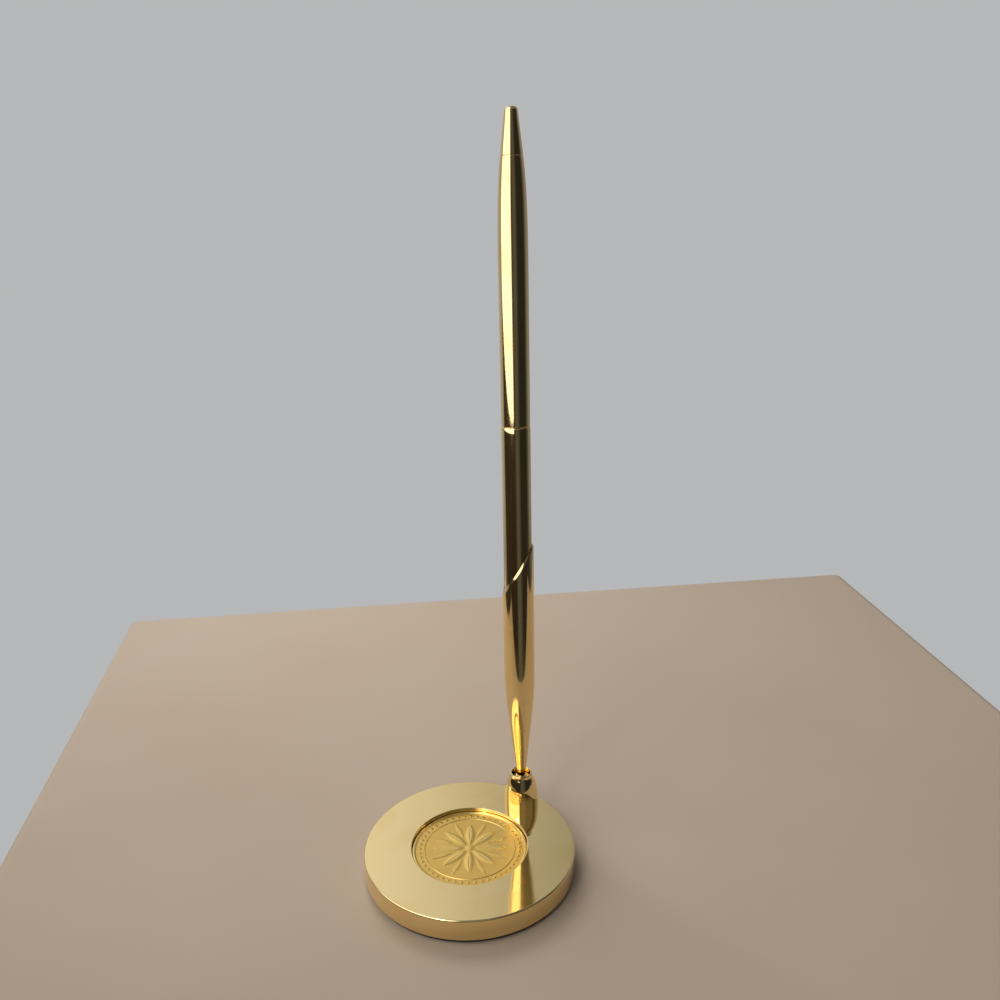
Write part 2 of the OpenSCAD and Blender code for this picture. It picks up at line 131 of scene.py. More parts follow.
def soft_bend(start, corner, end, steps=CURVE_STEPS):
    """Points of a bend from start to end, drawn towards a corner between them."""
    shares = [i / steps for i in range(steps + 1)]
    return [tuple((1 - s) ** 2 * start[k] + 2 * s * (1 - s) * corner[k] + s * s * end[k] for k in (0, 1))
            for s in shares]


def draw_in(start, end, power, steps=CURVE_STEPS):
    """Points of a curve that leaves start straight and draws in to end."""
    shares = [i / steps for i in range(steps + 1)]
    return [(start[0] + (end[0] - start[0]) * s ** power, start[1] + (end[1] - start[1]) * s) for s in shares]


print("a quarter round has", len(arc((0, 0), 1, 0, 90)), "points")

# %% [markdown]
# Blender's lathe is the spin operator. A small plane is merged into one point, the point is extruded from
# corner to corner, and the line is spun. A screw modifier could turn it as well, but the spin is what a hand
# would do in edit mode, and its result can be cut and bridged at once. The start and the end of the turn are
# then merged, and the faces are pointed outwards.

# %% Turning a piece on the lathe
TURN_STEPS = 160
MERGE_GAP = 0.0005 * MM


def draw_points(name, points):
    """Starts a new mesh as one point and extrudes it from place to place. It stays in edit mode."""
    bpy.ops.object.select_all(action="DESELECT")
    bpy.ops.mesh.primitive_plane_add(size=1 * MM)
    piece = bpy.context.object
    piece.name = name
    piece.data.name = name
    bpy.ops.object.mode_set(mode="EDIT")
    bpy.ops.mesh.merge(type="CENTER")
    bpy.ops.transform.translate(value=points[0])
    for here, there in zip(points, points[1:]):
        step = Vector(there) - Vector(here)
        bpy.ops.mesh.extrude_region_move(TRANSFORM_OT_translate={"value": step})
    return piece


def close_shell():
    """In edit mode: merges what meets and points the faces outwards."""
    bpy.ops.mesh.select_all(action="SELECT")
    bpy.ops.mesh.remove_doubles(threshold=MERGE_GAP)
    bpy.ops.mesh.normals_make_consistent(inside=False)


def turn_piece(name, outline, steps=TURN_STEPS):
    """A turned shell from an outline of (radius, height). It stays in edit mode."""
    corners = [q for q, before in zip(outline, [None] + outline[:-1]) if q != before]
    piece = draw_points(name, [(r, 0, z) for r, z in corners])
    bpy.ops.mesh.select_all(action="SELECT")
    bpy.ops.mesh.spin(steps=steps, angle=2 * math.pi, center=(0, 0, 0), axis=(0, 0, 1))
    close_shell()
    return piece


print("a full turn has", TURN_STEPS, "steps")

# %% [markdown]
# A turned piece stands upright over a place on the base, or is tipped onto the pen's axis. Its place is then
# applied, so that every object sits unturned at the origin. Shading is smooth up to a set angle, and weighted
# normals keep flat faces flat beside a rounded edge, which shows at once on polished metal. The last step
# ties the piece to its moving body and hides the CAD nodes that it stands for.

# %% Finishing a piece
SMOOTH_ANGLE = math.radians(35)


def settle(piece, place, tip):
    """Leaves edit mode, moves a piece to a place, tips it about the Y axis, and applies both."""
    bpy.ops.object.mode_set(mode="OBJECT")
    piece.location = place
    piece.rotation_euler = (0, tip, 0)
    bpy.ops.object.transform_apply(location=True, rotation=True, scale=True)
    return piece


def stand_upright(piece, x=0, y=0):
    """Stands a piece upright over a place on the base."""
    return settle(piece, (x, y, 0), 0)


def stand_on_ball(piece):
    """Tips a piece that was drawn upright onto the pen's axis, with its zero at the ball's centre."""
    return settle(piece, ball_centre, -lean)


def smooth(piece):
    """Shades a piece smooth, with sharp edges kept and flat faces flat."""
    bpy.ops.object.shade_smooth_by_angle(angle=SMOOTH_ANGLE)
    bpy.ops.object.modifier_add(type="WEIGHTED_NORMAL")
    piece.modifiers[-1].keep_sharp = True
    bpy.ops.object.modifier_apply(modifier=piece.modifiers[-1].name)


def fit(piece, body, slot, *nodes):
    """Smooths a piece, gives it its body and hides the CAD nodes that it stands for. The slot is not used."""
    smooth(piece)
    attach(piece, body)
    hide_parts(*nodes)
    print(piece.name, len(piece.data.polygons), "faces, rides on", body)


# %% [markdown]
# ## Base
# The base is a thick brass disc, polished all over. What the eye reads is its edge: a small round along the
# top that catches the light as one thin line, and a bevel at the foot that lets the disc float above the
# desk. The recess for the medallion has a finer round of its own. One outline gives all of it.

# %% The base disc
base_low, base_top, base_r = upright("base_disc")
medal_low, medal_top, medal_r = upright("medallion")
BASE_EDGE_R = 0.5 * MM
BASE_FOOT_BEVEL = 0.6 * MM
RECESS_GAP = 0.15 * MM
RECESS_EDGE_R = 0.25 * MM
recess_r = medal_r + RECESS_GAP

base_outline = (
    [(0, medal_low), (recess_r, medal_low)]
    + arc((recess_r + RECESS_EDGE_R, base_top - RECESS_EDGE_R), RECESS_EDGE_R, 180, 90)
    + arc((base_r - BASE_EDGE_R, base_top - BASE_EDGE_R), BASE_EDGE_R, 90, 0)
    + [(base_r, base_low + BASE_FOOT_BEVEL), (base_r - BASE_FOOT_BEVEL, base_low), (0, base_low)]
)
base = stand_upright(turn_piece("base", base_outline))
print("base blank:", len(base.data.polygons), "faces")

# %% [markdown]
# The socket's stud goes down through the base, and its washer and nut lie in a counterbore underneath. Both
# holes are off the axis, so they can't be turned with the rest. A cylinder is cut out for each by a Boolean.

# %% The holes for the socket's stud
HOLE_STEPS = 64
STUD_R = 1.5 * MM
STUD_ROOM = 0.15 * MM
COUNTERBORE_ROOM = 0.5 * MM
CUT_OVER = 1 * MM


def combine(piece, other, operation, crossing=False):
    """Applies a Boolean with another object, whose own shells may be crossing, and removes that object."""
    bpy.ops.object.select_all(action="DESELECT")
    bpy.context.view_layer.objects.active = piece
    piece.select_set(True)
    bpy.ops.object.modifier_add(type="BOOLEAN")
    boolean = piece.modifiers[-1]
    boolean.operation = operation
    boolean.object = other
    boolean.use_self = crossing
    bpy.ops.object.modifier_apply(modifier=boolean.name)
    bpy.data.objects.remove(other)


def cut_hole(piece, radius, low, high, place):
    """Cuts a round hole in a piece between two heights."""
    bpy.ops.object.select_all(action="DESELECT")
    bpy.ops.mesh.primitive_cylinder_add(vertices=HOLE_STEPS, radius=radius, depth=high - low,
                                        location=(place.x, place.y, (low + high) / 2))
    combine(piece, bpy.context.object, "DIFFERENCE")


_, washer_top, washer_r = upright("stud_washer")
cut_hole(base, washer_r + COUNTERBORE_ROOM, base_low - CUT_OVER, washer_top, ball_centre)
cut_hole(base, STUD_R + STUD_ROOM, base_low - CUT_OVER, base_top + CUT_OVER, ball_centre)
fit(base, "base", "polished_gold", "base_disc")

# %% [markdown]
# ## Socket and ball
# The socket is a little egg-shaped bell with a thin rolled lip, and the ball looks out of its mouth. The
# bell's wall swells out from the lip and stands almost upright at the foot. Inside, a round seat for the
# ball runs down into a straight bore.

# %% The socket bell
bell_low, bell_top, bell_r = upright("socket_bell")
LIP_R = 3.45 * MM
MOUTH_R = 2.95 * MM
COLLAR_H = 0.8 * MM
DOME_POWER = 3
BALL_PLAY = 0.05 * MM
ball_r = along_pen("swivel_ball")[2]
roll_r = (LIP_R - MOUTH_R) / 2
lip_z = bell_top - roll_r
seat_r = ball_r + BALL_PLAY
bore_r = seat_r + BALL_PLAY
mouth_angle = math.degrees(math.acos(MOUTH_R / seat_r))

bell_outline = (
    draw_in((bell_r, bell_low), (LIP_R, lip_z - COLLAR_H), DOME_POWER)
    + arc((LIP_R - roll_r, lip_z), roll_r, 0, 180)
    + arc((0, ball_centre.z), seat_r, mouth_angle, 0)
    + [(bore_r, ball_centre.z), (bore_r, bell_low), (bell_r, bell_low)]
)
bell = stand_upright(turn_piece("bell", bell_outline), ball_centre.x, ball_centre.y)
fit(bell, "base", "polished_gold", "socket_bell")

# %% [markdown]
# The ball is a polished sphere with a flat on top, on which the sheath stands, and a stud that screws into
# the sheath's foot. An arc for the sphere and a few corners for the stud are its whole outline.

# %% The swivel ball and its stud
BALL_FLAT_R = 1.45 * MM
BALL_STUD_R = 0.8 * MM
STUD_CHAMFER = 0.2 * MM
ball_top = along_pen("swivel_ball")[1]
flat_angle = math.degrees(math.acos(BALL_FLAT_R / ball_r))
flat_t = ball_r * math.sin(math.radians(flat_angle))

ball_outline = (
    arc((0, 0), ball_r, -90, flat_angle, steps=2 * CURVE_STEPS)
    + [(BALL_STUD_R, flat_t), (BALL_STUD_R, ball_top - STUD_CHAMFER), (BALL_STUD_R - STUD_CHAMFER, ball_top)]
    + [(0, ball_top)]
)
ball = stand_on_ball(turn_piece("ball", ball_outline))
fit(ball, "ball", "polished_gold", "swivel_ball")

# %% [markdown]
# ## Sheath
# The sheath is a thin drawn tube: a slim cone off the ball, a soft bend, and a straight part that is cut off
# at a slant. The wall's outside and inside are one closed outline, drawn a little too long for the cut.

# %% The sheath
SHEATH_FOOT_R = 1.35 * MM
SHEATH_WALL = 0.4 * MM
SHEATH_CONE = 30 * MM
SHEATH_BEND = 8 * MM
SHEATH_PLUG = 12 * MM
STUD_HOLE_GAP = 0.04 * MM
FOOT_ROUND = 0.1 * MM
foot_t, mouth_t, sheath_r = along_pen("sheath")
corner_t = foot_t + SHEATH_CONE
cone_slope = (sheath_r - SHEATH_FOOT_R) / SHEATH_CONE


def cone_r(t):
    """Radius of the sheath's cone at a place along the axis."""
    return SHEATH_FOOT_R + (t - foot_t) * cone_slope


def sheath_line(wall, start_t, end_t):
    """The sheath's side from a place on the cone up to a place on the tube, drawn in by a wall."""
    bend = soft_bend((cone_r(corner_t - SHEATH_BEND) - wall, corner_t - SHEATH_BEND),
                     (sheath_r - wall, corner_t), (sheath_r - wall, corner_t + SHEATH_BEND))
    return [(cone_r(start_t) - wall, start_t)] + bend + [(sheath_r - wall, end_t)]


stud_hole_r = BALL_STUD_R + STUD_HOLE_GAP
blank_t = mouth_t + CUT_OVER
plug_t = foot_t + SHEATH_PLUG
sheath_outline = (
    arc((SHEATH_FOOT_R - FOOT_ROUND, foot_t + FOOT_ROUND), FOOT_ROUND, -90, 0)
    + sheath_line(0, foot_t + 2 * FOOT_ROUND, blank_t)
    + sheath_line(SHEATH_WALL, plug_t, blank_t)[::-1]
    + [(stud_hole_r, plug_t), (stud_hole_r, foot_t), (SHEATH_FOOT_R - FOOT_ROUND, foot_t)]
)
sheath = turn_piece("sheath_tube", sheath_outline)
print("sheath blank:", round((blank_t - foot_t) / MM, 1), "mm long")

# %% [markdown]
# After the spin the tube is bisected along the slant. The real cut was buffed, so its outer edge rolls over
# softly to the bore, and that is the stroke of light in the photograph. A bevel would be narrower on the long
# sides of the slant than at its ends. So the outer edge is extruded in short steps that shrink towards the
# bore, all along the slant, and the last step is bridged to the bore's edge. The edges are picked by the
# places of their ends.

# %% Picking the edges of the slanted mouth
MOUTH_DROP = 15 * MM
RIM_LENGTH = 1.35 * MM
RIM_FLAT = 0.02 * MM
SLANT_TOLERANCE = 10 * MERGE_GAP
bore_wall_r = sheath_r - SHEATH_WALL
mouth_middle_t = mouth_t - MOUTH_DROP / 2
cut_middle_t = mouth_middle_t - RIM_LENGTH


def pick_edges(piece, wanted):
    """In edit mode: selects the edges whose two ends are both wanted."""
    bpy.ops.mesh.select_mode(type="EDGE")
    bpy.ops.mesh.select_all(action="DESELECT")
    bpy.ops.object.mode_set(mode="OBJECT")
    points = piece.data.vertices
    for edge in piece.data.edges:
        edge.select = all(wanted(points[i].co) for i in edge.vertices)
    bpy.ops.object.mode_set(mode="EDIT")
    bpy.ops.mesh.select_mode(type="VERT")


def on_slant(point, middle_t):
    """Whether a point lies on the slant that crosses the axis at a place."""
    return abs(point.z - middle_t - point.x * MOUTH_DROP / (2 * sheath_r)) < SLANT_TOLERANCE


def outside(point):
    """Whether a point lies outside the bore's edge."""
    return math.hypot(point.x, point.y) > bore_wall_r + RIM_FLAT / 2


def on_cut(point):
    """Whether a point lies on the outer edge of the cut."""
    return outside(point) and on_slant(point, cut_middle_t)


def on_gap(point):
    """Whether a point lies on one of the two edges that are bridged: the rim's last one and the bore's."""
    return on_slant(point, mouth_middle_t if outside(point) else cut_middle_t)


print("the mouth drops", round(MOUTH_DROP / MM, 1), "mm from right to left")

# %% The sheath's slanted mouth and its buffed rim
RIM_POWER = 1.15
RIM_STEPS = 8

bpy.ops.mesh.bisect(plane_co=(0, 0, cut_middle_t), plane_no=(-MOUTH_DROP, 0, 2 * sheath_r),
                    use_fill=False, clear_outer=True, threshold=MERGE_GAP)
pick_edges(sheath, on_cut)
rim = draw_in((sheath_r, 0), (bore_wall_r + RIM_FLAT, RIM_LENGTH), RIM_POWER, RIM_STEPS)
for (r, rise), (next_r, next_rise) in zip(rim, rim[1:]):
    bpy.ops.mesh.extrude_edges_move(TRANSFORM_OT_translate={"value": (0, 0, next_rise - rise)})
    bpy.ops.transform.resize(value=[next_r / r] * 3, center_override=(0, 0, cut_middle_t + next_rise))
pick_edges(sheath, on_gap)
bpy.ops.mesh.bridge_edge_loops()
close_shell()
stand_on_ball(sheath)
fit(sheath, "sheath", "polished_gold", "sheath")

# %% [markdown]
# ## Pen
# The pen is made of four turned pieces: a nose, a lower barrel with a rounded shoulder, an upper barrel that
# stays straight for a third of its length and then draws in, and a tapered end piece with a blunt tip. The
# two seams that show are real gaps, as narrow as on the pen. The nose comes first: a plain cone with a hole
# for the refill, and a spigot that goes up into the lower barrel.

# %% The nose
NOSE_TIP_R = 1.6 * MM
NOSE_BASE_R = 3.4 * MM
NOSE_HOLE_R = 1.35 * MM
NOSE_ROUND = 0.15 * MM
BARREL_WALL = 0.5 * MM
THREAD_GAP = 0.04 * MM
tip_t, spigot_t, _ = along_pen("nose_cone")
lower_t, seam_t, pen_r = along_pen("lower_barrel")
spigot_r = NOSE_BASE_R - BARREL_WALL - THREAD_GAP

nose_outline = (
    [(NOSE_HOLE_R, tip_t)]
    + arc((NOSE_TIP_R - NOSE_ROUND, tip_t + NOSE_ROUND), NOSE_ROUND, -90, 0)
    + [(NOSE_BASE_R, lower_t), (spigot_r, lower_t), (spigot_r, spigot_t)]
    + [(NOSE_HOLE_R, spigot_t), (NOSE_HOLE_R, tip_t)]
)
nose = stand_on_ball(turn_piece("nose", nose_outline))
fit(nose, "pen", "polished_gold", "nose_cone")

# %% [markdown]
# The lower barrel swells from the nose to its full width and ends in a rounded shoulder under the seam. Both
# are soft bends, because on polished metal a straight taper would show as a hard ring where it meets the
# barrel.

# %% The lower barrel
LOWER_TAPER = 14 * MM
SHOULDER_DROP = 0.4 * MM
SHOULDER_LENGTH = 1.6 * MM
barrel_bore_r = pen_r - BARREL_WALL
nose_fit_r = NOSE_BASE_R - BARREL_WALL
taper_t = lower_t + LOWER_TAPER

lower_outline = (
    soft_bend((NOSE_BASE_R, lower_t), (pen_r, lower_t + LOWER_TAPER / 2), (pen_r, taper_t))
    + soft_bend((pen_r, seam_t - SHOULDER_LENGTH), (pen_r, seam_t), (pen_r - SHOULDER_DROP, seam_t))
    + [(barrel_bore_r, seam_t), (barrel_bore_r, taper_t), (nose_fit_r, taper_t)]
    + [(nose_fit_r, lower_t), (NOSE_BASE_R, lower_t)]
)
lower = stand_on_ball(turn_piece("lower", lower_outline))
fit(lower, "pen", "polished_gold", "lower_barrel")

# %% [markdown]
# The upper half turns on the lower one, which drives the refill. Its taper is a power curve: straight at
# first, and drawn in faster towards the seam of the end piece. The hollow inside follows the same curve.

# %% The upper barrel
UPPER_STRAIGHT = 25 * MM
UPPER_POWER = 5
UPPER_ROUND = 0.15 * MM
UPPER_WALL = 0.45 * MM
END_SEAM_R = 3 * MM
END_ROUND = 0.12 * MM
END_SPIGOT_R = 1.6 * MM
CAM_ROOM = 0.2 * MM
FACE_GAP = 0.05 * MM
upper_t, upper_top_t, upper_r = along_pen("upper_barrel")
end_low_t, end_top_t, _ = along_pen("end_finial")
cam_top_t = along_pen("twist_cam")[1]
end_hole_r = END_SPIGOT_R + THREAD_GAP
straight_t = upper_t + UPPER_STRAIGHT


def upper_line(low, high, wall):
    """The upper barrel's taper between two places, drawn in by a wall."""
    places = [low + (high - low) * i / CURVE_STEPS for i in range(CURVE_STEPS + 1)]
    shares = [max(0, t - straight_t) / (upper_top_t - straight_t) for t in places]
    return [(upper_r - (upper_r - END_SEAM_R) * s ** UPPER_POWER - wall, t) for s, t in zip(shares, places)]


hollow_low = cam_top_t + CAM_ROOM
hollow_high = end_low_t - FACE_GAP
upper_outline = (
    arc((upper_r - UPPER_ROUND, upper_t + UPPER_ROUND), UPPER_ROUND, -90, 0)
    + upper_line(straight_t, upper_top_t, 0)[:-1]
    + arc((END_SEAM_R - END_ROUND, upper_top_t - END_ROUND), END_ROUND, 0, 90)
    + [(end_hole_r, upper_top_t), (end_hole_r, hollow_high)]
    + upper_line(hollow_low, hollow_high, UPPER_WALL)[::-1]
    + [(barrel_bore_r, hollow_low), (barrel_bore_r, upper_t), (upper_r - UPPER_ROUND, upper_t)]
)
upper = stand_on_ball(turn_piece("upper", upper_outline))
fit(upper, "pen_top", "polished_gold", "upper_barrel")

# %% [markdown]
# The end piece sits in the upper barrel by a spigot, leaves a narrow seam, and tapers straight to a blunt
# tip. A bevel could round the tip of the finished piece too, but an arc in the outline sets its radius.

# %% The end piece
END_TIP_R = 1.75 * MM
END_BLUNT = 0.9 * MM
end_t = upper_top_t + FACE_GAP

end_outline = (
    [(0, end_low_t), (END_SPIGOT_R, end_low_t), (END_SPIGOT_R, end_t)]
    + arc((END_SEAM_R - END_ROUND, end_t + END_ROUND), END_ROUND, -90, 0)
    + arc((END_TIP_R - END_BLUNT, end_top_t - END_BLUNT), END_BLUNT, 0, 90, steps=2 * ARC_STEPS)
    + [(0, end_top_t)]
)
end_piece = stand_on_ball(turn_piece("end_piece", end_outline))
fit(end_piece, "pen_top", "polished_gold", "end_finial")

# %% [markdown]
# The refill's point shows only when the pen is twisted out, and then it is what one looks at: a steel cone
# with a tiny hard ball in its tip. Both are turned like the rest.

# %% The refill's point and the writing ball
POINT_TIP_R = 0.5 * MM
POINT_CONE = 3.4 * MM
POINT_ROUND = 0.1 * MM
POINT_SPIGOT_R = 0.96 * MM
WRITING_R = 0.4 * MM
point_t, point_top_t, point_r = along_pen("refill_point")
ball_low_t, ball_high_t, _ = along_pen("writing_ball")
tube_t = along_pen("refill_tube")[0]

point_outline = (
    [(0, point_t + POINT_ROUND), (POINT_TIP_R - POINT_ROUND, point_t)]
    + arc((POINT_TIP_R - POINT_ROUND, point_t + POINT_ROUND), POINT_ROUND, -90, 0)
    + [(point_r, point_t + POINT_CONE), (point_r, tube_t), (POINT_SPIGOT_R, tube_t)]
    + [(POINT_SPIGOT_R, point_top_t), (0, point_top_t)]
)
point = stand_on_ball(turn_piece("point", point_outline))
fit(point, "refill", "steel", "refill_point")

writing_t = (ball_low_t + ball_high_t) / 2
writing_outline = arc((0, writing_t), WRITING_R, -90, 90, steps=2 * ARC_STEPS)
writing = stand_on_ball(turn_piece("tip_ball", writing_outline))
fit(writing, "refill", "spring_steel", "writing_ball")

# %% [markdown]
# ## Medallion
# A struck disc lies in the recess, a little below the base's top. It carries a plain pattern that any die
# sinker might cut: a raised rim, a row of beads, a ring, and a rosette of veined petals round a boss. Struck
# metal has no sharp feet: every raised form runs softly into the field. The rim, ring and boss are turned
# with the blank, one bead and one petal are modelled and then repeated by a spin that duplicates, and all of
# it is united into one disc.

# %% The medallion's blank with its rim, ring and boss
RIM_RELIEF = 0.3 * MM
RELIEF = 0.15 * MM
RIM_WIDTH = 1.1 * MM
BEAD_R = 0.6 * MM
BEAD_MARGIN = 0.55 * MM
RING_WIDTH = 0.5 * MM
BOSS_R = 1.9 * MM
MEDAL_ROUND = 0.15 * MM
SWELL_STEPS = 10
field_z = medal_top - RIM_RELIEF
bead_ring_r = medal_r - RIM_WIDTH - BEAD_MARGIN - BEAD_R
ring_r = bead_ring_r - BEAD_R - BEAD_MARGIN - RING_WIDTH / 2


def swell(start_r, end_r, height, first, last):
    """Points of a soft rise between two radii. First and last are shares of one full wave, foot to foot."""
    shares = [first + (last - first) * i / SWELL_STEPS for i in range(SWELL_STEPS + 1)]
    spans = [(s - first) / (last - first) for s in shares]
    return [(start_r + (end_r - start_r) * k, field_z + height * (1 - math.cos(2 * math.pi * s)) / 2)
            for k, s in zip(spans, shares)]


rim_inner_r = medal_r - RIM_WIDTH
blank_outline = (
    [(0, medal_low), (medal_r - MEDAL_ROUND, medal_low), (medal_r, medal_low + MEDAL_ROUND)]
    + arc((medal_r - MEDAL_ROUND, medal_top - MEDAL_ROUND), MEDAL_ROUND, 0, 90)
    + swell(rim_inner_r + RIM_WIDTH / 2, rim_inner_r, RIM_RELIEF, 0.5, 1)
    + swell(ring_r + RING_WIDTH / 2, ring_r - RING_WIDTH / 2, RELIEF, 0, 1)
    + swell(BOSS_R, 0, RELIEF, 0, 0.5)
)
medallion = stand_upright(turn_piece("struck_disc", blank_outline))
print("blank:", len(medallion.data.polygons), "faces")

# %% [markdown]
# A bead is a low round swelling. One is spun from half a wave, with its foot sunk into the field so that no
# gap shows, and a second spin copies it round the disc. An array of linked objects would do too, but the disc
# is to be one mesh.

# %% One bead, repeated round the disc
BEAD_COUNT = 48
BEAD_STEPS = 20
SINK = 0.05 * MM


def repeat_round(count):
    """In edit mode: copies what is selected round the middle of the base, so that there are count of them."""
    bpy.ops.mesh.spin(steps=count - 1, angle=2 * math.pi * (count - 1) / count, dupli=True,
                      center=(0, 0, 0), axis=(0, 0, 1))


bead_outline = swell(0, BEAD_R, RELIEF, 0.5, 1) + [(BEAD_R, field_z - SINK), (0, field_z - SINK)]
beads = turn_piece("beads", bead_outline, BEAD_STEPS)
bpy.ops.transform.translate(value=(bead_ring_r, 0, 0))
repeat_round(BEAD_COUNT)
stand_upright(beads)
print("beads:", len(beads.data.polygons), "faces")

# %% [markdown]
# A petal is a pointed lens with a ridge along it and a vein in the ridge. It is raised in rings: each one is
# an extrusion that is then scaled in, more across the petal than along it, and the last ones drop again for
# the vein. Narrow leaves, made by the same function, look out between the petals.

# %% The outline of a petal
PETAL_STEPS = 16


def lens(start_r, tip_r, width):
    """The outline of a pointed lens between two radii: two arcs that mirror each other."""
    half = (tip_r - start_r) / 2
    side_r = (half ** 2 + (width / 2) ** 2) / width
    side_angle = math.degrees(math.asin(half / side_r))
    middle = (start_r + half, width / 2 - side_r)
    one_side = arc(middle, side_r, 90 - side_angle, 90 + side_angle, PETAL_STEPS)
    other_side = [(x, -y) for x, y in one_side][::-1]
    return one_side + other_side[1:]


print("each side of a petal has", PETAL_STEPS, "steps")

# %% One veined petal, repeated round the boss
PETAL_COUNT = 8
# Each ring's share of the petal's width and of its height
PETAL_RINGS = [(0.88, 0.10), (0.74, 0.32), (0.58, 0.62), (0.42, 0.86), (0.28, 1.0), (0.10, 0.98),
               (0.03, 0.80)]
TIP_PULL = 0.4
PETAL_START_R = 1.2 * MM
PETAL_WIDTH = 3.4 * MM
PETAL_MARGIN = 2.2 * MM
LEAF_START_R = 5.4 * MM
LEAF_WIDTH = 1.7 * MM
LEAF_MARGIN = 0.9 * MM
LEAF_RELIEF = 0.7 * RELIEF
petal_tip_r = ring_r - RING_WIDTH / 2 - PETAL_MARGIN
leaf_tip_r = ring_r - RING_WIDTH / 2 - LEAF_MARGIN


def petal_ring(name, start_r, tip_r, width, height, turned):
    """A ring of pointed petals, each raised from its outline, ring by ring, into a ridge with a vein."""
    ring = draw_points(name, [(x, y, field_z - SINK) for x, y in lens(start_r, tip_r, width)])
    bpy.ops.mesh.select_all(action="SELECT")
    bpy.ops.mesh.remove_doubles(threshold=MERGE_GAP)
    bpy.ops.mesh.edge_face_add()
    bpy.ops.mesh.extrude_region_move(TRANSFORM_OT_translate={"value": (0, 0, SINK)})
    before, level = 1, 0
    for share, rise in PETAL_RINGS:
        narrow = share / before
        bpy.ops.mesh.extrude_region_move(TRANSFORM_OT_translate={"value": (0, 0, (rise - level) * height)})
        bpy.ops.transform.resize(value=(1 - (1 - narrow) * TIP_PULL * share, narrow, 1))
        before, level = share, rise
    close_shell()
    repeat_round(PETAL_COUNT)
    bpy.ops.mesh.select_all(action="SELECT")
    bpy.ops.transform.rotate(value=turned, orient_axis="Z", center_override=(0, 0, 0))
    stand_upright(ring)
    print(name, len(ring.data.polygons), "faces")
    return ring


petals = petal_ring("petals", PETAL_START_R, petal_tip_r, PETAL_WIDTH, RELIEF, 0)
leaves = petal_ring("leaves", LEAF_START_R, leaf_tip_r, LEAF_WIDTH, LEAF_RELIEF, math.pi / PETAL_COUNT)

# %% [markdown]
# A struck disc is one piece of metal. Joining the blank, the beads, the petals and the leaves would only put
# shells that cross into one object, so a Boolean unites them into a single shell.

# %% Unite the disc and lay it in the recess
bpy.ops.object.select_all(action="DESELECT")
for relief in (petals, leaves, beads):
    relief.select_set(True)
bpy.context.view_layer.objects.active = beads
bpy.ops.object.join()
combine(medallion, beads, "UNION", crossing=True)
bpy.ops.object.mode_set(mode="EDIT")
close_shell()
stand_upright(medallion)
fit(medallion, "base", "satin_gold", "medallion")

# %% [markdown]
# ## Felt pad
# Under the base lies a thin disc of black felt. Only its edge shows, as a dark line, but it is what the
# stand rests on. It is turned with a round edge, and its rim is roughened with a fine cloud displacement,
# so that it has the fuzz of pressed wool. The displacement only goes inwards, so the pad keeps its size.

# %% The felt pad
felt_low, felt_top, felt_r = upright("felt_pad")
FELT_FUZZ = 0.12 * MM
FELT_GRAIN = 0.6 * MM
FELT_EDGE_R = 0.35 * MM
FELT_RINGS = 12
felt_outline = (
    [(0, felt_low)]
    + [(felt_r * k / FELT_RINGS, felt_low) for k in range(1, FELT_RINGS)]
    + arc((felt_r - FELT_EDGE_R, felt_low + FELT_EDGE_R), FELT_EDGE_R, -90, 0)
    + [(felt_r, felt_top), (0, felt_top)]
)
felt = stand_upright(turn_piece("felt", felt_outline))
fuzz = bpy.data.textures.new("felt_fuzz", type="CLOUDS")
fuzz.noise_scale = FELT_GRAIN
edge = felt.vertex_groups.new(name="edge")
edge.add([v.index for v in felt.data.vertices if math.hypot(v.co.x, v.co.y) > felt_r - FELT_EDGE_R], 1, "ADD")
bpy.ops.object.modifier_add(type="DISPLACE")
felt.modifiers[-1].texture = fuzz
felt.modifiers[-1].texture_coords = "LOCAL"
felt.modifiers[-1].vertex_group = "edge"
felt.modifiers[-1].strength = FELT_FUZZ
felt.modifiers[-1].mid_level = 1
bpy.ops.object.modifier_apply(modifier=felt.modifiers[-1].name)
fit(felt, "base", "felt", "felt_pad")

# %% [markdown]
# ## Finishes
# Each finish is a Principled shader fed by noise at the real scale. Polished metal is never perfectly even:
# a cloth leaves broad smudges that dull the shine a little, fine hairlines that run with the polishing, and
# here and there a speck. Those three marks are one node group, so that the base, the bell and the pen can
# share it with their own scales and directions. A second group gives a fine grain with slow cloudy change,
# for the struck disc, the felt, the nylon and the plain turned metals.

# %% Helpers that add nodes and node groups
def add(tree, kind, inputs=None, **settings):
    """Adds a node. An input that is given a socket is linked, and any other input is set."""
    made = tree.nodes.new(kind)
    for key, value in settings.items():
        setattr(made, key, value)
    for key, value in (inputs or {}).items():
        if isinstance(value, bpy.types.NodeSocket):
            tree.links.new(value, made.inputs[key])
        else:
            made.inputs[key].default_value = value
    return made


def new_group(name, inputs, outputs):
    """An empty node group with named sockets. Returns its tree, its input node and its output node."""
    tree = bpy.data.node_groups.new(name, "ShaderNodeTree")
    for label, kind in inputs:
        tree.interface.new_socket(label, in_out="INPUT", socket_type=kind)
    for label, kind in outputs:
        tree.interface.new_socket(label, in_out="OUTPUT", socket_type=kind)
    return tree, tree.nodes.new("NodeGroupInput"), tree.nodes.new("NodeGroupOutput")


FLOAT, VECTOR = "NodeSocketFloat", "NodeSocketVector"

# %% [markdown]
# Smudges come from a broad noise, hairlines from a fine noise whose coordinates are drawn out along the
# polish, and specks from the cells of a Voronoi texture. The group gives a roughness, a height for the bump
# and a mask for the smudges' warmer tone.

